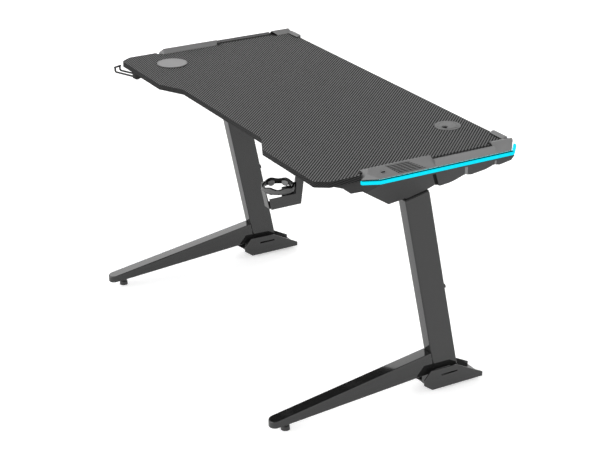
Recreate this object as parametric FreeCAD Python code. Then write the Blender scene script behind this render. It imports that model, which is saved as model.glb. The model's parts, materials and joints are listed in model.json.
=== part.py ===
import FreeCAD, Part
import math
import os

# Gaming desk on two leaning telescopic legs, with a light bar along each end.
# Millimetres. +X to the right, +Y to the back, +Z up, floor at z = 0.

Vec = FreeCAD.Vector
os.makedirs("parts", exist_ok=True)

# Desktop
top_z = 750.0
sheet_t = 0.8
panel_t = 17.2
panel_top = top_z - sheet_t
panel_bottom = panel_top - panel_t
half_width = 636.0
wedge_half = 618.0
rear_y = 358.0
wing_front_y = -262.0
recess_front_y = -221.0
recess_half = 248.0
wing_step_x = 330.0
corner_x = 607.0
corner_mid = (631.0, -226.0)
corner_r = 12.0

# Light bars, drawn for the right end
bar_outer_x = 653.0
bar_start_y = -131.0
bar_bend_y = -84.0
bar_start_x = 631.0
bar_rear_y = 360.0
bar_low_z = 734.5
bar_gap = 1.0
front_end_y = 92.0
rear_start_y = 292.0
ridge_x = 627.0
ridge_z = 762.0
lip_end_x = 545.0
corner_sum = 992.5

# Light guide and the lit strip behind it
guide_outer_x = 655.0
guide_inner_x = 640.5
guide_low_z = 720.0
guide_high_z = 730.0
guide_rear_y = 352.0
guide_front_x = (622.0, 634.0)
guide_kick = Vec(-21, 21, 13)

# Casing under each end
casing_ledge_z = 719.8
casing_top_z = 731.6
casing_inner_x = 480.0
casing_rear_y = 353.0

# Legs
leg_x = 551.0
lean_deg = 11.5
axis_y = 191.5
axis_z = 121.0
tube_w = 40.0
tube_d = 80.0
tube_wall = 2.0
tube_top = 511.3
column_foot_z = 62.0
inner_w = 30.0
inner_d = 70.0
inner_wall = 2.5
inner_end = 200.0
lift_step = 50.0
setting_count = 3
height_bolt_x = (-9.0, 9.0)
collar_h = 3.0

# Feet
foot_tip_y = -373.0
glide_front_y = -322.0
glide_rear_y = 288.0
glide_r = 13.5
stud_r = 4.0
thread_gap = 0.05
wing_plate_x = 37.0
wing_plate_t = 4.0
base_low_z = 10.0

# Brackets and beams under the desktop
bracket_half = 30.0
bracket_t = 5.0
bracket_front_y = -90.0
bracket_rear_y = 296.0
beam_y = {"crossbeam_front": -40.0, "crossbeam_rear": 205.0}
beam_w = 40.0
beam_h = 20.0
beam_top_z = 731.0
beam_wall = 2.0

# Desktop fittings
grommet = (432.0, 281.0)
grommet_r = 37.5
grommet_hole_r = 30.0
charger = (-500.0, -137.0)
charger_r = 48.5
charger_pocket_r = 38.0
charger_pocket_d = 12.0
charger_lead_r = 5.0
button_at = (639.4, -68.0)
cup = (478.0, -296.0)
hook_pivot = (-552.0, -238.0)
hook_turn_deg = 203.0
hook_reach = 84.0
hook_wire_r = 3.0
hook_wire_z = 712.0


def box(x0, x1, y0, y1, z0, z1):
    return Part.makeBox(x1 - x0, y1 - y0, z1 - z0, Vec(x0, y0, z0))


def cyl(r, x, y, z0, z1):
    return Part.makeCylinder(r, z1 - z0, Vec(x, y, z0), Vec(0, 0, 1))


def rod(r, start, end):
    way = end - start
    return Part.makeCylinder(r, way.Length, start, way)


def prism(points, way):
    loop = [Vec(*p) for p in points]
    return Part.Face(Part.makePolygon(loop + loop[:1])).extrude(way)


def side_prism(points, x0, x1):
    return prism([(x0, y, z) for y, z in points], Vec(x1 - x0, 0, 0))


def end_prism(points, y0, y1):
    return prism([(x, y0, z) for x, z in points], Vec(0, y1 - y0, 0))


def plan_prism(points, z0, z1):
    return prism([(x, y, z0) for x, y in points], Vec(0, 0, z1 - z0))


def join(shapes):
    body = shapes[0]
    if len(shapes) > 1:
        body = body.fuse(shapes[1:])
    return body.removeSplitter()


def group(shapes):
    return Part.makeCompound(shapes)


def mirrored(shape):
    return shape.mirror(Vec(0, 0, 0), Vec(1, 0, 0))


def lean(shape):
    # Stands a shape drawn about the upright column axis on the leaning axis of the right leg
    turned = shape.copy()
    turned.rotate(Vec(0, 0, 0), Vec(1, 0, 0), lean_deg)
    turned.translate(Vec(leg_x, axis_y, axis_z))
    return turned


def save(name, shape):
    shape.exportStep("parts/" + name + ".step")


def save_pair(name, shape):
    save(name + "_right", shape)
    save(name + "_left", mirrored(shape))


def screw_up(x, y, seat_z, shank_r, length, head_r, head_h):
    # A screw driven upwards, its head under the seat
    return cyl(head_r, x, y, seat_z - head_h, seat_z).fuse(cyl(shank_r, x, y, seat_z, seat_z + length))


def both(points):
    return points + [(-x, y) for x, y in points]


# Desktop panel: recessed front edge, cut corners, holes for the fittings and the screws

def desktop_outline():
    right = [
        (recess_half, recess_front_y),
        (wing_step_x, wing_front_y),
        (corner_x, wing_front_y),
        corner_mid,
        (632.5, bar_start_y - 0.5),
        (wedge_half, bar_start_y - 0.5),
        (wedge_half, front_end_y - 18),
        (half_width, front_end_y - 4),
        (half_width, corner_sum - 0.5 - half_width),
        (corner_sum - 0.5 - rear_y, rear_y),
    ]
    left = [(-x, y) for x, y in reversed(right)]
    return right + left


def desktop_slab(z0, z1):
    slab = plan_prism(desktop_outline(), z0, z1)
    corners = []
    for edge in slab.Edges:
        mid = edge.CenterOfMass
        upright = abs(edge.Vertexes[0].Point.z - edge.Vertexes[-1].Point.z) > (z1 - z0) / 2
        if upright and mid.y < corner_mid[1] + 1 and abs(mid.x) > wing_step_x + 1:
            corners.append(edge)
    return slab.makeFillet(corner_r, corners)


bracket_screw_at = both([(leg_x + dx, y) for dx in (-20, 20) for y in (-70, 150, 276)])
casing_screw_at = both([(498, 120), (498, 300), (612, -20), (618, 280)])
cup_screw_at = [(cup[0] - 12, -216), (cup[0] + 12, -216)]
hook_screw_at = [(hook_pivot[0] + dx, hook_pivot[1]) for dx in (-16, 16)]
wood_r = 2.0
wood_gap = 0.05
wood_depth = 12.0

panel = desktop_slab(panel_bottom, panel_top)
cuts = [cyl(grommet_hole_r, *grommet, panel_bottom, panel_top)]
cuts.append(cyl(charger_pocket_r, *charger, panel_top - charger_pocket_d, panel_top))
cuts.append(cyl(charger_lead_r, *charger, panel_bottom, panel_top))
for x, y in bracket_screw_at + casing_screw_at + cup_screw_at + hook_screw_at:
    cuts.append(cyl(wood_r + wood_gap, x, y, panel_bottom, panel_bottom + wood_depth))
save("desktop_panel", panel.cut(cuts))


# Light bar cover: a wedge over the end of the desktop in three lengths, with a lip along the back

def bar_section(inner_x, panel_edge, crown, y0, y1):
    points = [(inner_x, panel_top)] + crown
    points += [(bar_outer_x - 2, bar_low_z + bar_gap), (bar_outer_x - 2, bar_low_z)]
    points += [(panel_edge + bar_gap, bar_low_z), (panel_edge + bar_gap, panel_top)]
    return end_prism(points, y0, y1)


front_inner_x = 604.0
middle_inner_x = 633.0
rear_inner_x = 603.0
crown_edge = 3.0
front_crown = [(front_inner_x, panel_top + crown_edge), (ridge_x, ridge_z)]
middle_edge = 2.2
middle_ridge = (643.0, 755.0)
middle_crown = [(middle_inner_x, panel_top + middle_edge), middle_ridge]
rear_crown = [(rear_inner_x, panel_top + crown_edge), (ridge_x + 2, ridge_z - 1)]
wedge_end_y = front_end_y - 18 - bar_gap
low, high = 700.0, 800.0
front_plan = plan_prism([
    (600, bar_start_y), (bar_start_x, bar_start_y), (bar_outer_x - 2, bar_bend_y),
    (bar_outer_x - 2, front_end_y), (middle_inner_x + 1, front_end_y), (600, front_end_y - 20),
], low, high)
rear_plan = plan_prism([
    (middle_inner_x + 1, rear_start_y), (bar_outer_x, rear_start_y),
    (bar_outer_x, corner_sum - bar_outer_x), (corner_sum - bar_rear_y, bar_rear_y),
    (600, bar_rear_y), (600, rear_start_y + 14),
], low, high)
nose_inner = Vec(front_inner_x, -119.0, panel_top)
nose_ridge = Vec(ridge_x, -107.0, ridge_z)
nose_outer = Vec(bar_start_x, bar_start_y, bar_low_z)
nose_way = (nose_outer - nose_inner).cross(nose_ridge - nose_inner)
nose_cut = Part.makeCylinder(90, 60, nose_inner, nose_way)
wedge = bar_section(front_inner_x, wedge_half, front_crown, bar_start_y, wedge_end_y)
wedge_step = bar_section(front_inner_x, half_width, front_crown, wedge_end_y, front_end_y)
middle = bar_section(middle_inner_x, half_width, middle_crown, front_end_y, rear_start_y)
rear = bar_section(rear_inner_x, half_width, rear_crown, rear_start_y, bar_rear_y)
lip_front_y = 345.0
lip_slope = 6.0
lip_top_z = 758.5
lip_groove_h = 2.8
lip_groove_d = 4.0
skirt_low_z = 742.0
skirt_gap = 0.3
lip = side_prism([
    (lip_front_y + lip_groove_d, panel_top), (lip_front_y + lip_groove_d, panel_top + lip_groove_h),
    (lip_front_y, panel_top + lip_groove_h), (lip_front_y + lip_slope, lip_top_z),
    (bar_rear_y, lip_top_z), (bar_rear_y, panel_top),
], lip_end_x, rear_inner_x + 4)
lip_skirt = box(lip_end_x, rear_inner_x + 18, rear_y + skirt_gap, bar_rear_y, skirt_low_z, panel_top + 1)
bar = join([
    wedge.common(front_plan).cut(nose_cut), wedge_step.common(front_plan), middle,
    rear.common(rear_plan), lip, lip_skirt,
])

# The long slope of the front length carries the ribbed grille and the light button
slope_deg = math.degrees(math.atan2(ridge_z - bar_low_z - bar_gap, bar_outer_x - 2 - ridge_x))


def on_slope(shape, x, y):
    # Lays a shape drawn on z = 0 on the slope, at the given place in plan
    z = ridge_z - (x - ridge_x) * math.tan(math.radians(slope_deg))
    turned = shape.copy()
    turned.rotate(Vec(0, 0, 0), Vec(0, 1, 0), slope_deg)
    turned.translate(Vec(x, y, z))
    return turned


grille_at = (638.6, 0.0)
grille_half_w = 14.5
grille_inner_y = (-55.0, 15.0)
grille_outer_y = (-21.0, 62.0)
grille_depth = 2.6
grille_gap = 0.3
rib_count = 7
rib_w = 2.2
rib_low = -1.2
rib_high = 0.3


def grille_block(gap, z0, z1):
    # The slanted outline of the grille, shrunk by a gap
    w = grille_half_w - gap
    return plan_prism([
        (-w, grille_inner_y[0] + 2 * gap), (w, grille_outer_y[0] + 2 * gap),
        (w, grille_outer_y[1] - 2 * gap), (-w, grille_inner_y[1] - 2 * gap),
    ], z0, z1)


ribs = [grille_block(grille_gap, -grille_depth, rib_low)]
for n in range(rib_count):
    mid = grille_half_w * ((2 * n + 1) / rib_count - 1)
    strip = box(mid - rib_w / 2, mid + rib_w / 2, -100, 100, rib_low, rib_high)
    ribs.append(strip.common(grille_block(grille_gap, rib_low, rib_high)))
save_pair("bar_grille", on_slope(join(ribs), *grille_at))
bar = bar.cut(on_slope(grille_block(0, -grille_depth, 5), *grille_at))
save("light_bar_left", mirrored(bar))

button_half = 4.5
button_r = 4.4
button_h = 5.0
button_proud = 0.8
button_gap = 0.3
button_travel = 1.0


def stadium(r, half, z0, z1):
    return join([
        box(-r, r, -half, half, z0, z1),
        cyl(r, 0, half, z0, z1),
        cyl(r, 0, -half, z0, z1),
    ])


button_low = button_proud - button_h
hole_low = button_low - button_travel - 0.4
button_hole = stadium(button_r + button_gap, button_half, hole_low, 5)
save("light_bar_right", bar.cut(on_slope(button_hole, *button_at)))
button = stadium(button_r, button_half, button_low, button_proud)
save("light_button", on_slope(button, *button_at))

# Top sheet: stops short of the bars, the lip and the two round fittings
sheet_gap = 0.4
sheet = desktop_slab(panel_top, top_z)
channel_x = 617.0
nose_side = (front_inner_x - sheet_gap, nose_inner.y - sheet_gap)
nose_tip = (bar_start_x, bar_start_y - sheet_gap)
footprints = [
    plan_prism([
        (nose_side[0], front_end_y), nose_side, nose_tip, (700, nose_tip[1]), (700, front_end_y),
    ], panel_top, top_z),
    box(channel_x, 700, front_end_y - 1, rear_start_y + 1, panel_top, top_z),
    box(rear_inner_x - sheet_gap, 700, rear_start_y - sheet_gap, 400, panel_top, top_z),
    box(lip_end_x - sheet_gap, 700, lip_front_y - sheet_gap, 400, panel_top, top_z),
]
footprints += [mirrored(f) for f in footprints]
footprints.append(cyl(grommet_r + sheet_gap, *grommet, panel_top, top_z))
footprints.append(cyl(charger_r + sheet_gap, *charger, panel_top, top_z))
save("top_sheet", sheet.cut(footprints))

# Light guide: follows the bar's bend, runs to the back and kicks up round the rear corner
guide_run = plan_prism([
    (guide_front_x[1], bar_start_y), (guide_outer_x, bar_bend_y), (guide_outer_x, guide_rear_y),
    (guide_inner_x, guide_rear_y), (guide_inner_x, bar_bend_y), (guide_front_x[0], bar_start_y),
], guide_low_z, guide_high_z)
kick = prism([
    (guide_inner_x, guide_rear_y, guide_low_z), (guide_outer_x, guide_rear_y, guide_low_z),
    (guide_outer_x, guide_rear_y, guide_high_z), (guide_inner_x, guide_rear_y, guide_high_z),
], guide_kick)
save_pair("light_guide", join([guide_run, kick]))
strip_x = (639.0, 640.2)
strip_z = (720.5, 729.5)
save_pair("led_strip", box(*strip_x, bar_bend_y + 4, casing_rear_y - 6, *strip_z))

# Side casing: the crossing of an end section, a side profile with fins and a plan outline
slope_run = 70.0
slope_drop = 90.0


def slope_x(start_x, start_z, z):
    return start_x - (start_z - z) * slope_run / slope_drop


low_z = 600.0
outer_section = [
    (casing_inner_x, casing_top_z), (639, casing_top_z), (639, casing_ledge_z),
    (654, casing_ledge_z), (slope_x(654, casing_ledge_z, low_z), low_z),
    (532, low_z), (casing_inner_x, casing_ledge_z),
]
fin_profile = [
    (-210, casing_top_z), (-210, 722), (-173, 712), (-155, 697), (-127, 702), (-8, 621), (20, 627),
    (100, 650), (119, 664), (138, 655), (146, 654), (169, 658), (186, 665), (205, 680),
    (222, 677), (234, 674), (277, 683), (295, 696), (306, 694), (320, 690),
    (casing_rear_y, 700), (casing_rear_y, casing_top_z),
]
casing_plan = [
    (casing_inner_x, -150), (512, -210), (596, -210), (bar_start_x, bar_start_y), (654, bar_bend_y),
    (654, casing_rear_y), (casing_inner_x, casing_rear_y),
]
hollow_section = [
    (484.5, 740), (632.5, 740), (632.5, 714), (slope_x(632.5, 714, 617), 617),
    (530, 617), (484.5, casing_ledge_z),
]
hollow_profile = [
    (-120, 740), (-120, 708), (-6, 630), (20, 636), (100, 660), (122, 676), (212, 694),
    (238, 694), (295, 708), (343, 712), (343, 740),
]
casing = end_prism(outer_section, -230, 400)
casing = casing.common(side_prism(fin_profile, 400, 700))
casing = casing.common(plan_prism(casing_plan, low_z, high))
casing = casing.cut(end_prism(hollow_section, -230, 400).common(side_prism(hollow_profile, 400, 700)))
neck_hole = lean(box(-18.5, 18.5, -38.5, 38.5, 480, 560))
guide_room = plan_prism([
    (guide_front_x[0] - 2, bar_start_y - 1), (639, bar_bend_y), (660, bar_bend_y), (660, bar_start_y - 1),
], casing_ledge_z, high)
cuts = [neck_hole, guide_room]

# Grooves slant back down the slope between the fins: the first dips to the back, the others face the front
groove_z = 714.0
groove_d = 6.0
dip_y = 83.0
dip_w = 11.0
dip_slant = 67.0
facet_slant = 50.0
facets = ((190.0, 9.0), (289.0, 6.0))


def slope_groove(corners, slant):
    surface_x = slope_x(654, casing_ledge_z, groove_z)
    base = [(surface_x + dx, y, groove_z) for dx, y in corners]
    return prism(base, Vec(-slope_run, slant, -slope_drop) * 1.1)


dip_corners = [(groove_d, dip_y - dip_w), (-groove_d, dip_y + dip_w), (groove_d, dip_y + dip_w)]
cuts.append(slope_groove(dip_corners, dip_slant))
for y, w in facets:
    cuts.append(slope_groove([(-groove_d, y), (groove_d, y + 2 * w), (groove_d, y)], facet_slant))
for y in beam_y.values():
    cuts.append(box(470, 530, y - beam_w / 2 - 1, y + beam_w / 2 + 1, beam_top_z - beam_h - 2, 740))
lead_y = 322.0
lead_z = 727.5
lead_r = 2.5
cuts.append(rod(lead_r + 1, Vec(470, lead_y, lead_z), Vec(500, lead_y, lead_z)))
casing = casing.cut(cuts)

# Screw tabs along the casing's top rim
tab_z = casing_top_z - 4
tabs = []
holes = []
for x, y in casing_screw_at:
    if x > 0:
        toward = (casing_inner_x + 2, x + 6) if x < leg_x else (x - 6, 634)
        tabs.append(box(*toward, y - 7, y + 7, tab_z, casing_top_z))
        holes.append(cyl(wood_r + 0.3, x, y, 700, 740))
save_pair("side_casing", join([casing] + tabs).cut(holes))
save("casing_screws", group([
    screw_up(x, y, tab_z, wood_r, wood_depth, 3.6, 2.2) for x, y in casing_screw_at
]))

# Telescopic column of the right leg, drawn upright about its axis and then leaned


def rect_tube(w, d, wall, z0, z1):
    outer = box(-w / 2, w / 2, -d / 2, d / 2, z0, z1)
    return outer.cut(box(wall - w / 2, w / 2 - wall, wall - d / 2, d / 2 - wall, z0 - 1, z1 + 1))


def across(r, x, z, y0, y1):
    return rod(r, Vec(x, y0, z), Vec(x, y1, z))


bolt_r = 4.0
bolt_head_r = 7.0
bolt_head_h = 5.5
bolt_gap = 0.3
stop_z = inner_end - bolt_r - bolt_gap
foot_bolt_z = (-34.0, -6.0)
seat_bolt_y = (186.0, 218.0)
floor_cut = box(400, 700, 0, 400, -200, column_foot_z)
column = lean(rect_tube(tube_w, tube_d, tube_wall, -120, tube_top)).cut(floor_cut)
end_plate = lean(box(-tube_w / 2, tube_w / 2, -tube_d / 2, tube_d / 2, -120, 100))
end_plate = end_plate.common(box(400, 700, 0, 400, column_foot_z, column_foot_z + 6))
cuts = []
for x in height_bolt_x:
    for n in range(setting_count):
        cuts.append(lean(across(bolt_r + bolt_gap, x, stop_z + n * lift_step, 30, 45)))
cuts += [lean(across(bolt_r + bolt_gap, 0, z, -45, -30)) for z in foot_bolt_z]
cuts += [cyl(bolt_r + thread_gap, leg_x, y, 50, 80) for y in seat_bolt_y]
save_pair("column", join([column, end_plate]).cut(cuts))

sleeve_gap = 0.3
sleeve_low = 400.0
slot_w = inner_w + 0.8
slot_d = inner_d + 0.8
sleeve = join([
    box(-tube_w / 2 + tube_wall + sleeve_gap, tube_w / 2 - tube_wall - sleeve_gap,
        -tube_d / 2 + tube_wall + sleeve_gap, tube_d / 2 - tube_wall - sleeve_gap, sleeve_low, tube_top),
    box(-tube_w / 2 + 1, tube_w / 2 - 1, -tube_d / 2 + 1, tube_d / 2 - 1, tube_top, tube_top + collar_h),
]).cut(box(-slot_w / 2, slot_w / 2, -slot_d / 2, slot_d / 2, sleeve_low - 1, tube_top + collar_h + 1))
save_pair("guide_sleeve", lean(sleeve))

bracket_low = panel_bottom - bracket_t
inner = lean(rect_tube(inner_w, inner_d, inner_wall, inner_end, 700)).cut(
    box(400, 700, -200, 400, bracket_low, 900))
save_pair("inner_tube", inner)

height_bolt = [
    across(bolt_head_r, x, stop_z, tube_d / 2, tube_d / 2 + bolt_head_h).fuse(
        across(bolt_r, x, stop_z, 12, tube_d / 2)) for x in height_bolt_x]
save_pair("height_bolts", lean(group(height_bolt)))

# Front foot: a long tapering arm with a round tip, hollow from below between tip and heel
foot_top = [(foot_tip_y, 40.3), (151.0, 121.0)]
foot_bottom = [(foot_tip_y, 19.3), (164.5, 55.6)]


def line_z(line, y):
    (y0, z0), (y1, z1) = line
    return z0 + (z1 - z0) * (y - y0) / (y1 - y0)


foot = side_prism(foot_bottom[:1] + foot_top + foot_bottom[1:], leg_x - tube_w / 2, leg_x + tube_w / 2)
tip = cyl(tube_w / 2, leg_x, foot_tip_y + tube_w / 2, 0, 200)
behind_tip = box(leg_x - 50, leg_x + 50, foot_tip_y + tube_w / 2, 400, 0, 200)
foot = foot.common(join([tip, behind_tip]))
foot = foot.cut(lean(box(-50, 50, -tube_d / 2, 100, -150, 150)))
hollow_y = (-298.0, 106.0)
foot_wall = 4.0
foot = foot.cut(side_prism([
    (hollow_y[0], 0), (hollow_y[0], line_z(foot_top, hollow_y[0]) - foot_wall),
    (hollow_y[1], line_z(foot_top, hollow_y[1]) - foot_wall), (hollow_y[1], 0),
], leg_x - tube_w / 2 + foot_wall, leg_x + tube_w / 2 - foot_wall))
glide_bore_top = 36.0
foot = foot.cut([cyl(stud_r + thread_gap, leg_x, glide_front_y, 0, glide_bore_top)])
foot = foot.cut([lean(across(bolt_r + thread_gap, 0, z, -72, -30)) for z in foot_bolt_z])
save_pair("front_foot", foot)

leg_bolts = [lean(across(bolt_head_r, 0, z, -38, -38 + bolt_head_h).fuse(across(bolt_r, 0, z, -68, -38)))
             for z in foot_bolt_z]
saddle_t = 5.0
saddle_top = column_foot_z
leg_bolts += [screw_up(leg_x, y, saddle_top - saddle_t, bolt_r, saddle_t + 14, bolt_head_r, bolt_head_h)
              for y in seat_bolt_y]
save_pair("leg_bolts", group(leg_bolts))

# Rear base: two upright wing plates on a floor plate, with a saddle under the column
wing_profile = [
    (117, 31), (117, 48), (140, 74), (228, 72), (286, 43), (323, 24), (323, base_low_z), (146, base_low_z),
]
saddle_front = 146.0
saddle_rear = 246.0
step_y = 164.0
floor_t = 5.0
floor_top = base_low_z + floor_t
saddle_outer = [
    (saddle_front, floor_top), (saddle_front, line_z(foot_bottom, saddle_front)),
    (step_y, line_z(foot_bottom, step_y)), (step_y, saddle_top), (saddle_rear, saddle_top),
    (saddle_rear, floor_top),
]
saddle_inner = [
    (saddle_front + saddle_t, 0), (saddle_front + saddle_t, 48), (step_y + saddle_t, 48),
    (step_y + saddle_t, saddle_top - saddle_t), (saddle_rear - saddle_t, saddle_top - saddle_t),
    (saddle_rear - saddle_t, 0),
]
saddle_half = 18.0
saddle = side_prism(saddle_outer, leg_x - saddle_half, leg_x + saddle_half)
saddle = saddle.cut(side_prism(saddle_inner, leg_x - saddle_half - 2, leg_x + saddle_half + 2))
wing_slot = (176.0, 232.0, 49.5, 54.5)
wings = []
for side in (-1, 1):
    mid = leg_x + side * wing_plate_x
    wing = side_prism(wing_profile, mid - wing_plate_t / 2, mid + wing_plate_t / 2)
    wings.append(wing.cut(box(mid - 5, mid + 5, *wing_slot)))
floor_half = wing_plate_x + wing_plate_t / 2
floor_plate = box(leg_x - floor_half, leg_x + floor_half, saddle_front, 323, base_low_z, floor_top)
base = join([floor_plate, saddle] + wings)
base_holes = [cyl(stud_r + thread_gap, leg_x, glide_rear_y, 0, 40)]
for y in seat_bolt_y:
    base_holes.append(cyl(bolt_r + bolt_gap, leg_x, y, saddle_top - saddle_t - 1, saddle_top + 1))
save_pair("rear_base", base.cut(base_holes))


# Levelling glides: a round pad, a lock collar and a threaded stud

def glide(y, pad_h, collar_top, stud_top):
    pad = Part.makeCone(glide_r, glide_r - 1.5, pad_h, Vec(leg_x, y, 0))
    return join([pad, cyl(9.5, leg_x, y, pad_h, collar_top), cyl(stud_r, leg_x, y, collar_top, stud_top)])


save_pair("glide_front", glide(glide_front_y, 13.0, 21.5, 35.0))
save_pair("glide_rear", glide(glide_rear_y, 7.0, base_low_z - 0.4, 24.0))

# Top bracket: a channel under each end that the inner tube is welded to
x0, x1 = leg_x - bracket_half, leg_x + bracket_half
flange_t = 3.0
flange_low = 710.0
bracket = join([
    box(x0, x1, bracket_front_y, bracket_rear_y, bracket_low, panel_bottom),
    box(x0, x0 + flange_t, bracket_front_y, bracket_rear_y, flange_low, panel_bottom),
    box(x1 - flange_t, x1, bracket_front_y, bracket_rear_y, flange_low, panel_bottom),
])
cuts = [cyl(wood_r + 0.3, x, y, 700, 740) for x, y in bracket_screw_at if x > 0]
beam_mid_z = beam_top_z - beam_h / 2 - 2.5
for y in beam_y.values():
    cuts.append(rod(bolt_r + bolt_gap, Vec(x0 - 1, y, beam_mid_z), Vec(x0 + flange_t + 1, y, beam_mid_z)))
save_pair("top_bracket", bracket.cut(cuts))
save("bracket_screws", group([
    screw_up(x, y, bracket_low, wood_r, bracket_t + wood_depth - 2, 4.0, 2.4) for x, y in bracket_screw_at
]))

# Crossbeams between the two brackets, and the bolts in their ends
plug = 22.0
beam_bolts = []
for name, y in beam_y.items():
    beam = box(-x0, x0, y - beam_w / 2, y + beam_w / 2, beam_top_z - beam_h, beam_top_z)
    bore = box(plug - x0, x0 - plug, y - beam_w / 2 + beam_wall, y + beam_w / 2 - beam_wall,
               beam_top_z - beam_h + beam_wall, beam_top_z - beam_wall)
    beam = beam.cut(bore)
    for side in (-1, 1):
        face = Vec(side * x0, y, beam_mid_z)
        beam = beam.cut(rod(bolt_r + thread_gap, face, face - Vec(side * (plug - 3), 0, 0)))
        seat = Vec(side * (x0 + flange_t), y, beam_mid_z)
        head = rod(bolt_head_r, seat, seat + Vec(side * bolt_head_h, 0, 0))
        beam_bolts.append(head.fuse(rod(bolt_r, seat, seat - Vec(side * plug, 0, 0))))
    save(name, beam)
save("beam_bolts", group(beam_bolts))

# Cable grommet: a flanged sleeve in the desktop and a turning cap with a cable notch
gx, gy = grommet
seat_r = 31.0
cap_gap = 0.3
sleeve_r = 29.7
sleeve_in = 27.0
flange_top = 752.2
save("grommet_sleeve", join([
    cyl(grommet_r, gx, gy, panel_top, flange_top),
    cyl(sleeve_r, gx, gy, panel_bottom - 5, panel_top),
]).cut([
    cyl(seat_r, gx, gy, flange_top - 2.2, flange_top + 1),
    cyl(sleeve_in, gx, gy, 700, 760),
]))
notch_turn_deg = -60.0
cap_low = flange_top - 1.9
cap_high = flange_top + 1.0
skirt_in = sleeve_in - 2.5
cap_skirt = cyl(sleeve_in - cap_gap, gx, gy, 742, cap_low).cut(cyl(skirt_in, gx, gy, low, cap_low))
cap = join([cyl(seat_r - cap_gap, gx, gy, cap_low, cap_high), cap_skirt])
notch_r = 8.0
notch_in = 16.0
notch_out = 27.5
notch = join([
    cyl(notch_r, notch_in, 0, low, high), box(notch_in, notch_out, -notch_r, notch_r, low, high),
])
notch.rotate(Vec(0, 0, 0), Vec(0, 0, 1), notch_turn_deg)
notch.translate(Vec(gx, gy, 0))
save("grommet_cap", cap.cut(notch))

# Charging disc: a housing let into the desktop, a coil inside and a pad on top
cx, cy = charger
rim_top = 752.6
pad_low = rim_top - 1.8
pad_high = rim_top + 0.6
pad_r = 45.0
pad_seat_r = 45.5
body_r = 37.5
well_r = 33.0
well_low = panel_top - 7
coil_r = 24.0
coil_in = 11.0
coil_h = 3.0
save("charger_housing", join([
    cyl(charger_r, cx, cy, panel_top, rim_top),
    cyl(body_r, cx, cy, panel_top - 10, panel_top),
]).cut([cyl(pad_seat_r, cx, cy, pad_low, rim_top + 1), cyl(well_r, cx, cy, well_low, rim_top)]))
save("charger_pad", cyl(pad_r, cx, cy, pad_low, pad_high))
coil = cyl(coil_r, cx, cy, well_low, well_low + coil_h)
save("charger_coil", coil.cut(cyl(coil_in, cx, cy, low, high)))

# Light controller in the right casing and the lead that crosses to the left strip
controller_x = 590.0
save("light_controller", box(controller_x, 628, 300, 341, 714, panel_bottom))
save("light_lead", rod(lead_r, Vec(-632, lead_y, lead_z), Vec(controller_x, lead_y, lead_z)))
clips = []
for x in (-360, -120, 120, 360):
    clip = box(x - 6, x + 6, lead_y - 8, lead_y + 8, lead_z - lead_r - 1.5, panel_bottom)
    clips.append(clip.cut(rod(lead_r + 0.1, Vec(x - 10, lead_y, lead_z), Vec(x + 10, lead_y, lead_z))))
save("lead_clips", group(clips))

# Cup holder: a bent strap hung under the front edge, stiffened by an upright plate on one side,
# a tray with one tall wall and a ring seat
ux, uy = cup
strap_half = 21.5
strap_t = 3.0
flange_rear_y = -200.0
arm_top_y = -226.0
arm_foot_y = -237.0
tray_front_y = -327.0
tray_z = 647.0
wall_top_z = 676.0
left_lip_z = 652.0
ring_top = 709.0
ring_low = 694.0
ring_r = 45.0
ring_in = 38.6
front_arm_y = -338.0
front_arm_half = 12.0
seat_arm_half = 15.0
seat_arm_rear_y = -232.0
cheek_front_y = -274.0
cheek_rear_y = -233.0
cheek_top_z = 685.0
upright_top_y = -250.0
upright_foot_y = -254.0
upright_foot_z = 671.0
seat_low = ring_low - strap_t
bore_low = 640.0
bore_high = 740.0
strap_low = tray_z - strap_t
strap = side_prism([
    (flange_rear_y, panel_bottom), (flange_rear_y, panel_bottom - strap_t),
    (arm_top_y, panel_bottom - strap_t), (arm_foot_y, strap_low), (tray_front_y, strap_low),
    (tray_front_y, tray_z), (arm_foot_y - strap_t, tray_z), (arm_top_y - strap_t, panel_bottom),
], ux - strap_half, ux + strap_half)
front_arm = side_prism([
    (tray_front_y, strap_low), (tray_front_y - strap_t, strap_low), (front_arm_y - strap_t, ring_low),
    (front_arm_y, ring_low), (tray_front_y, tray_z),
], ux - front_arm_half, ux + front_arm_half)


def tray_wall(x0, x1, top_z):
    lean_y = (front_arm_y - tray_front_y) * (top_z - tray_z) / (ring_low - tray_z)
    return side_prism([
        (tray_front_y, strap_low), (tray_front_y + lean_y, top_z),
        (arm_foot_y, top_z), (arm_foot_y, strap_low),
    ], x0, x1)


seat = join([
    cyl(ring_r - 0.5, ux, uy, seat_low, ring_low),
    box(ux - seat_arm_half, ux + seat_arm_half, uy, seat_arm_rear_y, seat_low, ring_low),
]).cut(cyl(ring_in + 1, ux, uy, bore_low, bore_high))
cheek = side_prism([
    (arm_foot_y, strap_low), (cheek_front_y, strap_low),
    (cheek_front_y, cheek_top_z), (cheek_rear_y, cheek_top_z),
], ux - strap_half, ux - strap_half + strap_t)
upright = side_prism([
    (arm_top_y, panel_bottom), (upright_top_y, panel_bottom),
    (upright_foot_y, upright_foot_z), (upright_foot_y, strap_low), (arm_foot_y, strap_low),
], ux + strap_half - strap_t, ux + strap_half)
frame = join([
    strap, front_arm, seat, cheek, upright,
    tray_wall(ux + strap_half - strap_t, ux + strap_half, wall_top_z),
    tray_wall(ux - strap_half, ux - strap_half + strap_t, left_lip_z),
])
save("cup_frame", frame.cut([cyl(wood_r + 0.3, x, y, 700, 740) for x, y in cup_screw_at]))
finger_count = 6
finger_half = 9.0
finger_in = 36.0
finger_low = 687.0
sleeve = cyl(ring_in, ux, uy, finger_low, ring_top - 3).cut(cyl(finger_in, ux, uy, bore_low, bore_high))
fingers = []
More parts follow.
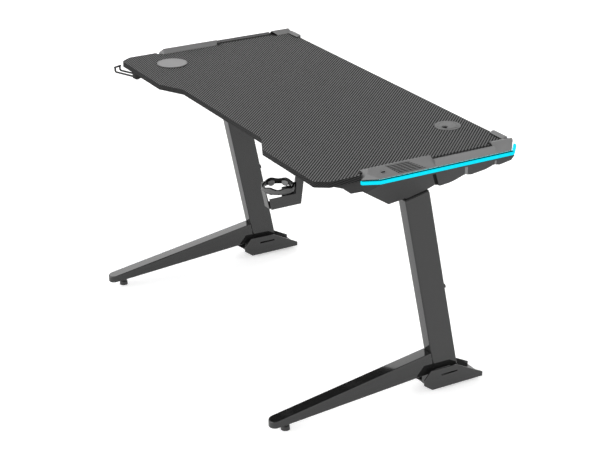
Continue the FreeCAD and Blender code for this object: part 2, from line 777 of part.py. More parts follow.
for n in range(finger_count):
    slab = box(0, ring_r, -finger_half, finger_half, finger_low, ring_top)
    slab.rotate(Vec(0, 0, 0), Vec(0, 0, 1), 360.0 * n / finger_count)
    slab.translate(Vec(ux, uy, 0))
    fingers.append(sleeve.common(slab))
ring = cyl(ring_r, ux, uy, ring_low, ring_top).cut(cyl(ring_in, ux, uy, bore_low, bore_high))
save("cup_ring", join([ring] + fingers))
save("cup_screws", group([
    screw_up(x, y, panel_bottom - strap_t, wood_r, strap_t + 9, 3.8, 2.2) for x, y in cup_screw_at
]))

# Headset hook: a plate with a pin under the front corner, and a wire hook that swivels on it
hx, hy = hook_pivot
plate_t = 3.0
plate_low = panel_bottom - plate_t
pin_r = 4.0
pin_low = 704.0
hub_low = 706.0
hub_high = 722.0
plate = box(hx - 22, hx + 22, hy - 11, hy + 11, plate_low, panel_bottom)
plate = plate.cut([cyl(wood_r + 0.3, x, y, 700, 740) for x, y in hook_screw_at])
pin = join([cyl(pin_r, hx, hy, pin_low, plate_low), cyl(7.0, hx, hy, pin_low - 2.5, pin_low),
            cyl(7.0, hx, hy, hub_high + 1, plate_low)])
save("hook_plate", join([plate, pin]))
save("hook_screws", group([
    screw_up(x, y, plate_low, wood_r, plate_t + 9, 3.6, 2.2) for x, y in hook_screw_at
]))

wire_gap = 11.0
bend_r = 6.0
tip_rise = 15.0
wire_z = hook_wire_z
hub = cyl(14.0, 0, 0, hub_low, hub_high).cut(cyl(pin_r + thread_gap, 0, 0, 600, 800))
cos45 = math.cos(math.radians(45))
reach = hook_reach


def wire_path(side):
    y = side * wire_gap
    arc_mid = Vec(reach - bend_r + bend_r * cos45, y, wire_z + bend_r - bend_r * cos45)
    return [
        Part.LineSegment(Vec(9, y, wire_z), Vec(reach - bend_r, y, wire_z)).toShape(),
        Part.Arc(Vec(reach - bend_r, y, wire_z), arc_mid, Vec(reach, y, wire_z + bend_r)).toShape(),
        Part.LineSegment(Vec(reach, y, wire_z + bend_r), Vec(reach, y, wire_z + tip_rise)).toShape(),
    ]


wires = []
for side in (-1, 1):
    ring = Part.Wire(Part.makeCircle(hook_wire_r, Vec(9, side * wire_gap, wire_z), Vec(1, 0, 0)))
    wires.append(Part.Wire(wire_path(side)).makePipeShell([ring], True, False))
bar_y = wire_gap + hook_wire_r
cross = rod(hook_wire_r, Vec(reach, -bar_y, wire_z + tip_rise), Vec(reach, bar_y, wire_z + tip_rise))
arm = join([hub, wires[0], wires[1], cross])
arm = arm.cut(cyl(pin_r + thread_gap, 0, 0, 600, 800))
arm.rotate(Vec(0, 0, 0), Vec(0, 0, 1), hook_turn_deg)
arm.translate(Vec(hx, hy, 0))
save("hook_arm", arm)
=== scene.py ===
import bmesh
import bpy
import json
import math
from mathutils import Matrix, Quaternion, Vector


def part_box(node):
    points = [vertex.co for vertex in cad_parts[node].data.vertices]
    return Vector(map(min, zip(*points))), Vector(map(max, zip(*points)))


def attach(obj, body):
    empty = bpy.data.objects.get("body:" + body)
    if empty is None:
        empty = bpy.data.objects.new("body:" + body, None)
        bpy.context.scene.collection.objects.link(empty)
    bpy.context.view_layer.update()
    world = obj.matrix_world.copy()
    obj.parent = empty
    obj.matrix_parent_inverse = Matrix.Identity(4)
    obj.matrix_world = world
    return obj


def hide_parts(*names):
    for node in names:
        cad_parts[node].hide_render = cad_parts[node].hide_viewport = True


# Gaming desk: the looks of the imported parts, a studio floor, light and camera

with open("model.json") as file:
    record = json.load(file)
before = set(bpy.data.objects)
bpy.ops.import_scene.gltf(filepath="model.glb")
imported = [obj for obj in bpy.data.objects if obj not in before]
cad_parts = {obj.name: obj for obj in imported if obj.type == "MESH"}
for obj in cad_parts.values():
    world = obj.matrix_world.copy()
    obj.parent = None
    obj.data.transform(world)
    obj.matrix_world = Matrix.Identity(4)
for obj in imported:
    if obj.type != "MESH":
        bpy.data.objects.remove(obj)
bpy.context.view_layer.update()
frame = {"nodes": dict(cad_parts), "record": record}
nodes = frame["nodes"]
mm = 0.001
near = 0.1 * mm  # places this close count as one
square, facing, edgeOn = 0.99, 0.9, 0.1  # how far a normal points a given way: straight, mostly, hardly
sides = ("_left", "_right")
bodyOf = {}
for body, members in frame["record"]["behaviour"]["bodies"].items():
    for member in members:
        bodyOf[member] = body
bpy.ops.object.select_all(action="DESELECT")
print("frame loaded,", len(nodes), "parts")


def hexToLinear(code):
    # sRGB hex to a linear colour with alpha
    channels = []
    for i in (1, 3, 5):
        value = int(code[i:i + 2], 16) / 255
        channels.append(value / 12.92 if value <= 0.04045 else ((value + 0.055) / 1.055) ** 2.4)
    return (*channels, 1.0)


def addNode(tree, kind, inputs, **settings):
    # one node with its settings; an input is a value, or a socket to link from
    node = tree.nodes.new(kind)
    for name, value in settings.items():
        setattr(node, name, value)
    for name, value in inputs.items():
        if isinstance(value, bpy.types.NodeSocket):
            tree.links.new(value, node.inputs[name])
        else:
            node.inputs[name].default_value = value
    return node


noiseSpan = {"From Min": 0.3, "From Max": 0.7}  # nearly all of a noise lies in this
grainBump = 0.6


def waveScale(pitchMm):
    # a wave texture repeats every pi / 10 of its scaled coordinate
    return math.pi / 10 / (pitchMm * mm)


def startMaterial(name, baseHex, roughness, **extra):
    # a Principled material with its plain values on the shader's own sockets
    material = bpy.data.materials.new(name)
    material.use_nodes = True
    tree = material.node_tree
    shader = tree.nodes["Principled BSDF"]
    shader.inputs["Base Color"].default_value = hexToLinear(baseHex)
    shader.inputs["Roughness"].default_value = roughness
    for socket, value in extra.items():
        shader.inputs[socket.replace("_", " ")].default_value = value
    coords = addNode(tree, "ShaderNodeTexCoord", {}).outputs["Object"]
    return material, tree, shader, coords


def addGrain(tree, shader, coords, look):
    # fine bumps, with a slow drift of colour and gloss over them
    grain = addNode(tree, "ShaderNodeTexNoise", {
        "Vector": coords, "Scale": 1 / (look["grainMm"] * mm), "Detail": 3.0})
    drift = addNode(tree, "ShaderNodeTexNoise", {
        "Vector": coords, "Scale": 1 / (look["driftMm"] * mm), "Detail": 2.0})
    tone = addNode(tree, "ShaderNodeMixRGB", {
        "Fac": drift.outputs["Fac"],
        "Color1": hexToLinear(look["dark"]), "Color2": hexToLinear(look["light"])})
    gloss = addNode(tree, "ShaderNodeMapRange", {
        "Value": grain.outputs["Fac"], **noiseSpan,
        "To Min": look["rough"][0], "To Max": look["rough"][1]})
    bump = addNode(tree, "ShaderNodeBump", {
        "Height": grain.outputs["Fac"], "Distance": look["depthMm"] * mm, "Strength": grainBump})
    tree.links.new(tone.outputs["Color"], shader.inputs["Base Color"])
    tree.links.new(gloss.outputs["Result"], shader.inputs["Roughness"])
    tree.links.new(bump.outputs["Normal"], shader.inputs["Normal"])


def grained(name, look, **extra):
    # a material that is all grain: paint, moulded plastic or rubber
    material, tree, shader, coords = startMaterial(name, look["dark"], look["rough"][0], **extra)
    addGrain(tree, shader, coords, look)
    return material


# Powder-coated steel: baked-on paint, so a smooth black gloss over a faint orange peel
coatedSteel = grained("powder_coated_steel", {
    "dark": "#191919", "light": "#1d1d1d", "rough": (0.05, 0.08),
    "grainMm": 2.4, "depthMm": 0.002, "driftMm": 110})

# Epoxy-dipped wire and plate: a thick satin dip, so a deep black that takes little light at its edges
hookSteel = grained("epoxy_dipped_steel", {
    "dark": "#0b0b0b", "light": "#121212", "rough": (0.42, 0.52),
    "grainMm": 1.5, "depthMm": 0.004, "driftMm": 40}, Specular_IOR_Level=0.25)

# Moulded ABS: spark-eroded mould texture, so an even matt face; the grit is drawn coarse to show
greyAbs = grained("moulded_grey_abs", {
    "dark": "#6a6a6a", "light": "#717171", "rough": (0.5, 0.62),
    "grainMm": 1.2, "depthMm": 0.03, "driftMm": 90}, Specular_IOR_Level=0.25)
casingAbs = grained("moulded_charcoal_abs", {
    "dark": "#2b2b2b", "light": "#2f2f2f", "rough": (0.5, 0.62),
    "grainMm": 1.4, "depthMm": 0.03, "driftMm": 120}, Specular_IOR_Level=0.12)
darkerGreyAbs = grained("moulded_graphite_abs", {
    "dark": "#3e3e3e", "light": "#444444", "rough": (0.46, 0.58),
    "grainMm": 1.2, "depthMm": 0.03, "driftMm": 90})
grommetAbs = grained("moulded_grommet_abs", {
    "dark": "#5a5a5a", "light": "#626262", "rough": (0.55, 0.65),
    "grainMm": 0.9, "depthMm": 0.02, "driftMm": 30})
buttonAbs = grained("moulded_button_abs", {
    "dark": "#646464", "light": "#6c6c6c", "rough": (0.35, 0.45),
    "grainMm": 0.7, "depthMm": 0.01, "driftMm": 12})
chargerShell = grained("moulded_charger_abs", {
    "dark": "#141414", "light": "#191919", "rough": (0.45, 0.55),
    "grainMm": 0.9, "depthMm": 0.02, "driftMm": 30})

# Soft-touch lacquer on the charging disc: a rubbery pale grey that scatters the light
chargerTop = grained("soft_touch_lacquer", {
    "dark": "#6e6e6e", "light": "#757575", "rough": (0.6, 0.7),
    "grainMm": 0.8, "depthMm": 0.012, "driftMm": 35}, Sheen_Weight=0.15)

# Glass-filled nylon, as moulded: dark with a dry, slightly cloudy face
blackNylon = grained("glass_filled_nylon", {
    "dark": "#101010", "light": "#1a1a1a", "rough": (0.42, 0.6),
    "grainMm": 1.0, "depthMm": 0.03, "driftMm": 14})

# Thermoplastic rubber from a polished mould: a deep black with a soft gloss on the rim of the cup ring
ringRubber = grained("moulded_rubber", {
    "dark": "#050505", "light": "#090909", "rough": (0.16, 0.26),
    "grainMm": 1.1, "depthMm": 0.01, "driftMm": 25}, Specular_IOR_Level=0.18)

# The ring's black rubber with a painted reflection: a dull dark grey on its outer band, where it mirrors
# the floor
bandPaintedReflection = grained("ring_rubber_painted_reflection", {
    "dark": "#363636", "light": "#3c3c3c", "rough": (0.4, 0.5),
    "grainMm": 1.1, "depthMm": 0.02, "driftMm": 25})

# The ring's black rubber painted as lit: a paler grey on the petals, where they catch the light, with a
# dull, even face
petalPaintedLit = grained("ring_rubber_painted_lit", {
    "dark": "#6a6a6a", "light": "#727272", "rough": (0.5, 0.6),
    "grainMm": 1.0, "depthMm": 0.02, "driftMm": 15})

# Painted shade: a matt black with a coarse grit, laid on gaps, slots, holes, recesses and faces that lie in
# shade, so they read as black lines
paintedShade = grained("painted_shade_black", {
    "dark": "#060606", "light": "#0b0b0b", "rough": (0.7, 0.85),
    "grainMm": 1.0, "depthMm": 0.06, "driftMm": 20}, Specular_IOR_Level=0.05)

# Extruded PVC over the lead: black, smooth and a little waxy
leadJacket = grained("extruded_pvc", {
    "dark": "#0a0a0a", "light": "#0e0e0e", "rough": (0.3, 0.4),
    "grainMm": 1.8, "depthMm": 0.01, "driftMm": 60})

# Black zinc plate on steel fasteners: metal, with a cloudy dark chromate
blackZinc = grained("black_zinc_plate", {
    "dark": "#232323", "light": "#3a3634", "rough": (0.3, 0.45),
    "grainMm": 0.8, "depthMm": 0.01, "driftMm": 3.5}, Metallic=1.0)

# Drawn steel tube, dip-painted: satin black with faint lines along its length
drawnTube = {
    "base": "#101010", "lineMm": 1.6, "stretch": 0.02, "depthMm": 0.01, "bump": 0.5, "rough": (0.22, 0.36)}


def dipPaintedTube():
    material, tree, shader, coords = startMaterial(
        "dip_painted_drawn_tube", drawnTube["base"], drawnTube["rough"][0])
    along = addNode(tree, "ShaderNodeMapping", {
        "Vector": coords, "Scale": (1.0, 1.0, drawnTube["stretch"])})
    lines = addNode(tree, "ShaderNodeTexNoise", {
        "Vector": along.outputs["Vector"], "Scale": 1 / (drawnTube["lineMm"] * mm), "Detail": 2.0})
    gloss = addNode(tree, "ShaderNodeMapRange", {
        "Value": lines.outputs["Fac"], **noiseSpan,
        "To Min": drawnTube["rough"][0], "To Max": drawnTube["rough"][1]})
    bump = addNode(tree, "ShaderNodeBump", {
        "Height": lines.outputs["Fac"], "Distance": drawnTube["depthMm"] * mm,
        "Strength": drawnTube["bump"]})
    tree.links.new(gloss.outputs["Result"], shader.inputs["Roughness"])
    tree.links.new(bump.outputs["Normal"], shader.inputs["Normal"])
    return material


# Embossed PVC foil wrapped over the desktop: a carbon twill, two threads over and two under, so it
# shows beaded diagonal ribs that run from the front right to the rear left and on over the edges
foil = {
    "threadMm": {"X": 2.59, "Y": 2.72}, "repeat": 4.0, "overBelow": 1.5,
    "depthMm": 0.12, "bump": 0.5, "rough": 0.7, "gloss": 0.06,
    "top": {"warp": "#676767", "weft": "#070707"},
    # the edge copy is the same foil painted darker, as shade on the upright edges and on the board where
    # the sheet stops
    "edge": {"warp": "#303030", "weft": "#060606"},
}


def carbonTwillFoil(name, threads):
    material, tree, shader, coords = startMaterial(
        name, threads["warp"], foil["rough"], Specular_IOR_Level=foil["gloss"])
    place = addNode(tree, "ShaderNodeSeparateXYZ", {"Vector": coords})
    cells = []
    for axis in ("X", "Y"):
        # height counts with the plan, so the ribs carry on down an upright edge
        wrapped = addNode(tree, "ShaderNodeMath", {
            0: place.outputs[axis], 1: place.outputs["Z"]}, operation="ADD")
        count = addNode(tree, "ShaderNodeMath", {
            0: wrapped.outputs[0], 1: 1 / (foil["threadMm"][axis] * mm)}, operation="MULTIPLY")
        cells.append(addNode(tree, "ShaderNodeMath", {0: count.outputs[0]}, operation="FLOOR"))
    diagonal = addNode(tree, "ShaderNodeMath", {
        0: cells[0].outputs[0], 1: cells[1].outputs[0]}, operation="ADD")
    step = addNode(tree, "ShaderNodeMath", {
        0: diagonal.outputs[0], 1: foil["repeat"]}, operation="FLOORED_MODULO")
    warpUp = addNode(tree, "ShaderNodeMath", {
        0: step.outputs[0], 1: foil["overBelow"]}, operation="LESS_THAN")
    tone = addNode(tree, "ShaderNodeMixRGB", {
        "Fac": warpUp.outputs[0],
        "Color1": hexToLinear(threads["weft"]), "Color2": hexToLinear(threads["warp"])})
    bump = addNode(tree, "ShaderNodeBump", {
        "Height": warpUp.outputs[0], "Distance": foil["depthMm"] * mm, "Strength": foil["bump"]})
    tree.links.new(tone.outputs["Color"], shader.inputs["Base Color"])
    tree.links.new(bump.outputs["Normal"], shader.inputs["Normal"])
    return material


# Frosted acrylic light guide: lit from behind, so an even cyan with faint brighter spots over the diodes
guide = {
    "body": "#000607", "glow": "#02e6fe", "spot": "#04e9ff", "diodeMm": 16.7,
    "strength": 1.0, "rough": 0.5, "gloss": 0.05}


def litAcrylic():
    material, tree, shader, coords = startMaterial(
        "lit_frosted_acrylic", guide["body"], guide["rough"],
        Emission_Strength=guide["strength"], Specular_IOR_Level=guide["gloss"])
    wave = addNode(tree, "ShaderNodeTexWave", {
        "Vector": coords, "Scale": waveScale(guide["diodeMm"])}, bands_direction="Y")
    tone = addNode(tree, "ShaderNodeMixRGB", {
        "Fac": wave.outputs["Fac"],
        "Color1": hexToLinear(guide["glow"]), "Color2": hexToLinear(guide["spot"])})
    tree.links.new(tone.outputs["Color"], shader.inputs["Emission Color"])
    return material


# Flexible circuit under white solder mask: bare tinned pads show at each diode
board = {"mask": "#d8d8d0", "pad": "#8f8a78", "padAbove": 0.82, "rough": 0.45}


def flexCircuit():
    material, tree, shader, coords = startMaterial("white_solder_mask", board["mask"], board["rough"])
    wave = addNode(tree, "ShaderNodeTexWave", {
        "Vector": coords, "Scale": waveScale(guide["diodeMm"])}, bands_direction="Y")
    onPad = addNode(tree, "ShaderNodeMath", {
        0: wave.outputs["Fac"], 1: board["padAbove"]}, operation="GREATER_THAN")
    tone = addNode(tree, "ShaderNodeMixRGB", {
        "Fac": onPad.outputs[0], "Color1": hexToLinear(board["mask"]), "Color2": hexToLinear(board["pad"])})
    tree.links.new(tone.outputs["Color"], shader.inputs["Base Color"])
    return material


# Enamelled copper, wound flat: each turn of wire is a bright ring, with painted shade darkening it towards
# the creases between turns
coil = {
    "bright": "#b5653a", "shade": "#5f2f1a", "turnMm": 1.2, "depthMm": 0.3, "bump": 0.7, "rough": 0.3,
    "centre": (-0.5, -0.137, 0.0)}


def woundCopper():
    material, tree, shader, coords = startMaterial(
        "enamelled_copper_wire", coil["bright"], coil["rough"], Metallic=1.0)
    centred = addNode(tree, "ShaderNodeMapping", {
        "Vector": coords, "Location": tuple(-v for v in coil["centre"])})
    turns = addNode(tree, "ShaderNodeTexWave", {
        "Vector": centred.outputs["Vector"], "Scale": waveScale(coil["turnMm"])},
        wave_type="RINGS", rings_direction="Z")
    tone = addNode(tree, "ShaderNodeMixRGB", {
        "Fac": turns.outputs["Fac"],
        "Color1": hexToLinear(coil["shade"]), "Color2": hexToLinear(coil["bright"])})
    bump = addNode(tree, "ShaderNodeBump", {
        "Height": turns.outputs["Fac"], "Distance": coil["depthMm"] * mm, "Strength": coil["bump"]})
    tree.links.new(tone.outputs["Color"], shader.inputs["Base Color"])
    tree.links.new(bump.outputs["Normal"], shader.inputs["Normal"])
    return material


tubePaint = dipPaintedTube()
twillTop = carbonTwillFoil("carbon_twill_foil", foil["top"])
# the same foil darkened as painted shade, for the desktop board's edges
shadedTwillEdge = carbonTwillFoil("carbon_twill_foil_painted_shade", foil["edge"])
acrylic = litAcrylic()
circuit = flexCircuit()
copperWire = woundCopper()


def pair(name):
    return [name + side for side in sides]


# The record's slots, each with its finish and the parts that have it
slots = {
    "carbon_look_foil": (twillTop, ["top_sheet"]),
    "fibreboard": (shadedTwillEdge, ["desktop_panel"]),
    "grey_abs": (greyAbs, pair("light_bar")),
    "grille_abs": (greyAbs, pair("bar_grille")),
    "lit_acrylic": (acrylic, pair("light_guide")),
    "circuit_board": (circuit, pair("led_strip")),
    "black_abs": (casingAbs, pair("side_casing") + ["light_controller"]),
    "coated_steel": (coatedSteel, pair("column") + pair("front_foot") + pair("rear_base")
                     + pair("top_bracket") + ["crossbeam_front", "crossbeam_rear", "cup_frame"]),
    "inner_steel": (tubePaint, pair("inner_tube")),
    "black_nylon": (blackNylon, pair("guide_sleeve") + pair("glide_front") + pair("glide_rear")
                    + ["lead_clips"]),
    "black_zinc": (blackZinc, pair("height_bolts") + pair("leg_bolts")
                   + ["beam_bolts", "bracket_screws", "casing_screws", "cup_screws", "hook_screws"]),
    "grommet_abs": (grommetAbs, ["grommet_sleeve", "grommet_cap"]),
    "charger_shell": (chargerShell, ["charger_housing"]),
    "charger_top": (chargerTop, ["charger_pad"]),
    "copper": (copperWire, ["charger_coil"]),
    "button_abs": (buttonAbs, ["light_button"]),
    "lead_jacket": (leadJacket, ["light_lead"]),
    "ring_rubber": (ringRubber, ["cup_ring"]),
    "hook_steel": (hookSteel, ["hook_plate", "hook_arm"]),
}
slotOf = {}
for slot, (material, members) in slots.items():
    for member in members:
        slotOf[member] = slot
        nodes[member].data.materials.clear()
        nodes[member].data.materials.append(material)
print("materials on", len(slotOf), "parts")

# How a part's mesh is merged, which of its edges are rounded and which are shaded smooth
shaping = {"mergeMm": 0.01, "flatDeg": 0.4, "edgeDeg": 28, "smoothDeg": 38}


def lowOf(edge):
    return min(vert.co.z for vert in edge.verts)


def highOf(edge):
    return max(vert.co.z for vert in edge.verts)


def pick(kind, test):
    # selects only the vertices, edges or faces that pass a test
    bpy.ops.mesh.select_mode(type=kind)
    bpy.ops.mesh.select_all(action="DESELECT")
    mesh = bmesh.from_edit_mesh(bpy.context.object.data)
    for item in {"VERT": mesh.verts, "EDGE": mesh.edges, "FACE": mesh.faces}[kind]:
        if test(item):
            item.select_set(True)
    bmesh.update_edit_mesh(bpy.context.object.data)


def openPiece(piece):
    bpy.ops.object.select_all(action="DESELECT")
    piece.select_set(True)
    bpy.context.view_layer.objects.active = piece
    bpy.ops.object.mode_set(mode="EDIT")


def copyPart(name):
    # a part's mesh as a piece of its own, its triangles merged into whole faces
    piece = bpy.data.objects.new(name + "_dressed", nodes[name].data.copy())
    bpy.context.scene.collection.objects.link(piece)
    openPiece(piece)
    bpy.ops.mesh.select_all(action="SELECT")
    bpy.ops.mesh.remove_doubles(threshold=shaping["mergeMm"] * mm)
    bpy.ops.mesh.dissolve_limited(angle_limit=math.radians(shaping["flatDeg"]))
    return piece


def softenEdges(radiusMm, steps, longMm, keep=None):
    # rounds the outward edges that are long enough, and that pass a further test; where every length
    # counts, the radius shrinks to fit
    def isOutward(edge):
        if len(edge.link_faces) != 2 or edge.calc_length() < longMm * mm:
            return False
        bent = edge.calc_face_angle_signed() > math.radians(shaping["edgeDeg"])
        return bent and (keep is None or keep(edge))

    pick("EDGE", isOutward)
    bpy.ops.mesh.bevel(offset=radiusMm * mm, segments=steps, affect="EDGES", clamp_overlap=longMm == 0)


def closePiece(piece, name):
    # smooth shading that leaves the flats flat, the piece under the part's body, and the part it copies
    # hidden
    bpy.ops.object.mode_set(mode="OBJECT")
    bpy.ops.object.shade_smooth_by_angle(angle=math.radians(shaping["smoothDeg"]))
    bpy.ops.object.modifier_add(type="WEIGHTED_NORMAL")
    piece.modifiers[-1].keep_sharp = True
    bpy.ops.object.modifier_apply(modifier=piece.modifiers[-1].name)
    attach(piece, bodyOf[name])
    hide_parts(name)


def startRing(name, centre, outer, inner, low, tall, drops, columns):
    # a ring of square section, left in edit mode; its inner wall comes down in the given steps
    bpy.ops.object.select_all(action="DESELECT")
    bpy.ops.mesh.primitive_circle_add(
        vertices=columns, radius=outer, location=(centre.x, centre.y, low))
    piece = bpy.context.object
    piece.name = name
    bpy.ops.object.transform_apply(location=True, rotation=False, scale=False)
    bpy.ops.object.mode_set(mode="EDIT")
    bpy.ops.mesh.select_all(action="SELECT")
    bpy.ops.mesh.extrude_edges_move(TRANSFORM_OT_translate={"value": (0, 0, tall)})
    bpy.ops.mesh.extrude_edges_move()
    bpy.ops.transform.resize(value=(inner / outer, inner / outer, 1), center_override=centre)
    for drop in drops:
        bpy.ops.mesh.extrude_edges_move(TRANSFORM_OT_translate={"value": (0, 0, -drop)})
    pick("EDGE", lambda edge: highOf(edge) < low + near)
    bpy.ops.mesh.bridge_edge_loops()
    bpy.ops.mesh.select_all(action="SELECT")
    bpy.ops.mesh.normals_make_consistent(inside=False)
    return piece


def cutAway(piece, cutter):
    # takes a cutter out of a piece and removes the cutter
    openPiece(piece)
    bpy.ops.object.mode_set(mode="OBJECT")
    cut = piece.modifiers.new("cut", "BOOLEAN")
    cut.operation = "DIFFERENCE"
    cut.object = cutter
    bpy.ops.object.modifier_apply(modifier=cut.name)
    bpy.data.objects.remove(cutter)


def tint(piece, material, test):
    # a further material on the faces that pass a test
    piece.data.materials.append(material)
    for face in piece.data.polygons:
        if test(face):
            face.material_index = len(piece.data.materials) - 1


# Rounded edges: radius and the shortest edge that gets it, both in mm, and the steps across; the two
# with no radius are round already
soft = {
    "light_bar": (1.2, 5, 2), "bar_grille": (0.3, 6, 1), "light_guide": (3.6, 6, 3),
    "side_casing": (0.6, 9, 2), "column": (4.0, 300, 3), "inner_tube": (3.0, 250, 3),
    "guide_sleeve": (0.8, 8, 2), "front_foot": (2.5, 1, 3), "rear_base": (0.8, 5, 2),
    "glide_front": (0.8, 0, 2), "glide_rear": (0.8, 0, 2), "top_bracket": (0.8, 10, 2),
    "crossbeam_front": (2.0, 500, 2), "crossbeam_rear": (2.0, 500, 2), "cup_frame": (0.8, 8, 2),
    "hook_plate": (0.6, 5, 2), "hook_arm": (0, 0, 0), "grommet_sleeve": (0.8, 0, 2),
    "light_controller": (1.2, 8, 2), "lead_clips": (0.6, 5, 1), "light_lead": (0, 0, 0),
}
softAbove = {"light_bar": 737.0}  # in mm; the bars' thin lower edge stays sharp
dressed = {}
for name in slotOf:
    plain = name
    for side in sides:
        plain = plain.removesuffix(side)
    if plain not in soft:
        continue
    radius, shortest, steps = soft[plain]
    piece = copyPart(name)
    sharpBelow = softAbove.get(plain, 0.0) * mm
    if radius:
        softenEdges(radius, steps, shortest, lambda edge: lowOf(edge) >= sharpBelow)
    closePiece(piece, name)
    dressed[name] = piece
print("edges rounded on the frame, casings and bars")

# Light bars: painted shade in black on the front face of the left bar's rear length, in a groove under both
# rear lips, on the floors between the grille's ribs and on the guide's top, where the gap under the bar
# lies in shade; a darker grey on the inner slope of the low middle length
bar = {
    "lapInward": 0.25, "lapForward": 0.85, "grooveMm": (343.0, 349.5), "grooveTopMm": 753.0,
    "darkerMiddleMm": (92.0, 292.0), "ribMm": 0.25}
slopeUp = Vector((0.741, 0, 0.672))  # straight out of the right bar's outer slope


def isBetween(face, frontMm, rearMm):
    return frontMm * mm < face.center.y < rearMm * mm


def isShadedBarFace(face, outward):
    lap = outward < 0 and face.normal.x > bar["lapInward"] and face.normal.y < -bar["lapForward"]
    groove = isBetween(face, *bar["grooveMm"]) and face.center.z < bar["grooveTopMm"] * mm
    return lap or (groove and face.normal.z < edgeOn)


def isDarkerMiddle(face, outward):
    tipped = face.normal.z > facing and face.normal.x * outward < -edgeOn
    return tipped and isBetween(face, *bar["darkerMiddleMm"])


# Side casings: the first slanted notch is painted black as its own shade, and the front-facing facets
# behind it are painted pale grey as lit from the front
notch = {"rangeMm": (60.0, 170.0), "slant": 0.3, "steep": 0.7}


def isNotch(face):
    slanted = abs(face.normal.y) > notch["slant"] and abs(face.normal.z) < notch["steep"]
    return slanted and isBetween(face, *notch["rangeMm"])


def isLitFacet(face, outward):
    turned = face.normal.y < -notch["slant"] and face.normal.x * outward > edgeOn
    return turned and face.center.y > notch["rangeMm"][1] * mm


for side, outward in zip(sides, (-1, 1)):
    # painted shade: black on the bars' shaded faces, the grilles' floors and the guides' tops
    tint(dressed["light_bar" + side], paintedShade, lambda face: isShadedBarFace(face, outward))
    # a darker grey on the inner slope of the middle length
    tint(dressed["light_bar" + side], darkerGreyAbs, lambda face: isDarkerMiddle(face, outward))
    grille = dressed["bar_grille" + side]
    upward = Vector((slopeUp.x * outward, 0, slopeUp.z))
    ribTop = max(vert.co.dot(upward) for vert in grille.data.vertices) - bar["ribMm"] * mm
    tint(grille, paintedShade, lambda face: face.center.dot(upward) < ribTop)
    tint(dressed["light_guide" + side], paintedShade, lambda face: face.normal.z > square)
    # painted shade in the notch, painted highlight on the facets behind it
    tint(dressed["side_casing" + side], paintedShade, isNotch)
    tint(dressed["side_casing" + side], greyAbs, lambda face: isLitFacet(face, outward))

# Light button: a finger slot is sunk into its face, its floor painted black as the shade in the recess
button = {"edgeMm": 0.6, "rimMm": 1.7, "wallMm": 0.3, "depthMm": 0.8, "level": 0.98}
key = copyPart("light_button")
softenEdges(button["edgeMm"], steps=2, longMm=0)
pick("FACE", lambda face: face.normal.dot(slopeUp) > button["level"])
bpy.ops.mesh.inset(thickness=button["rimMm"] * mm, depth=0)
bpy.ops.mesh.inset(thickness=button["wallMm"] * mm, depth=-button["depthMm"] * mm)
closePiece(key, "light_button")
slotTop = max(vert.co.dot(slopeUp) for vert in key.data.vertices) - button["depthMm"] * mm / 2


def isSlotFloor(face):
    return face.normal.dot(slopeUp) > button["level"] and face.center.dot(slopeUp) < slotTop


# painted shade: the slot's floor in black
tint(key, paintedShade, isSlotFloor)
print("bars, grilles and button dressed")

# Cup ring: a black rim that rises and falls six times round an outer band painted grey as a reflection, a
# petal under each rise painted pale as lit
cupRing = {
    "centreMm": (478.0, -296.0), "outerMm": 45.0, "innerMm": 38.6, "lowMm": 694.0, "topMm": 709.0,
    "roundMm": 2.4, "roundSteps": 4, "waveMm": 2.2, "waveAboveMm": 701.0, "collarMm": 6.8,
    "columns": 72, "sameColumn": 0.2, "bandOutMm": 44.0, "bandTopMm": 703.0, "bandTilt": 0.3,
}
# Its petals: how many, half their width in columns, their sizes, and the limits that tell them apart
petal = {
    "count": 6, "half": 3, "inMm": 36.2, "dropMm": 6.9, "endMm": 6.0, "edgeMm": 0.5,
    "tipBelowMm": 688.0, "footInMm": 38.1, "edgeInMm": 37.6, "paintedLitInMm": 38.4,
}
ringX, ringY = (value * mm for value in cupRing["centreMm"])
ringLow = cupRing["lowMm"] * mm
ringTall = (cupRing["topMm"] - cupRing["lowMm"]) * mm
perPetal = cupRing["columns"] // petal["count"]
ringAxis = Vector((ringX, ringY, 0))


def fromPetal(place):
    # how many columns away a point is from the middle of the nearest petal
    turn = math.atan2(place.y - ringY, place.x - ringX) / math.tau * cupRing["columns"] % perPetal
    return min(turn, perPetal - turn)


def inColumn(place, column):
    return abs(fromPetal(place) - column) < cupRing["sameColumn"]


def fromAxis(place):
    return math.hypot(place.x - ringX, place.y - ringY)


collar = cupRing["collarMm"] * mm
cupPiece = startRing("cup_ring_dressed", ringAxis, cupRing["outerMm"] * mm, cupRing["innerMm"] * mm,
                     ringLow, ringTall, (collar, ringTall - collar), cupRing["columns"])
cupPiece.data.materials.append(ringRubber)


def onTopLoop(edge):
    a, b = (vert.co for vert in edge.verts)
    return lowOf(edge) > ringLow + ringTall - near and abs(fromAxis(a) - fromAxis(b)) < near


pick("EDGE", onTopLoop)
bpy.ops.mesh.bevel(offset=cupRing["roundMm"] * mm, segments=cupRing["roundSteps"], affect="EDGES")
for column in range(perPetal // 2 + 1):
    dip = -cupRing["waveMm"] * (1 - math.cos(math.tau * column / perPetal))
    pick("VERT", lambda vert: vert.co.z > cupRing["waveAboveMm"] * mm and inColumn(vert.co, column))
    bpy.ops.transform.translate(value=(0, 0, dip * mm))


def isPetalWall(face):
    place = face.calc_center_median()
    upright = abs(face.normal.z) < edgeOn and fromAxis(place) < cupRing["innerMm"] * mm + near
    return upright and fromPetal(place) < petal["half"] and place.z < ringLow + ringTall / 2


pick("FACE", isPetalWall)
bpy.ops.mesh.extrude_region_move()
petalShare = petal["inMm"] / cupRing["innerMm"]
bpy.ops.transform.resize(value=(petalShare, petalShare, 1), center_override=ringAxis)


def isPetalFoot(face):
    return face.normal.z < -facing and fromAxis(face.calc_center_median()) < petal["footInMm"] * mm


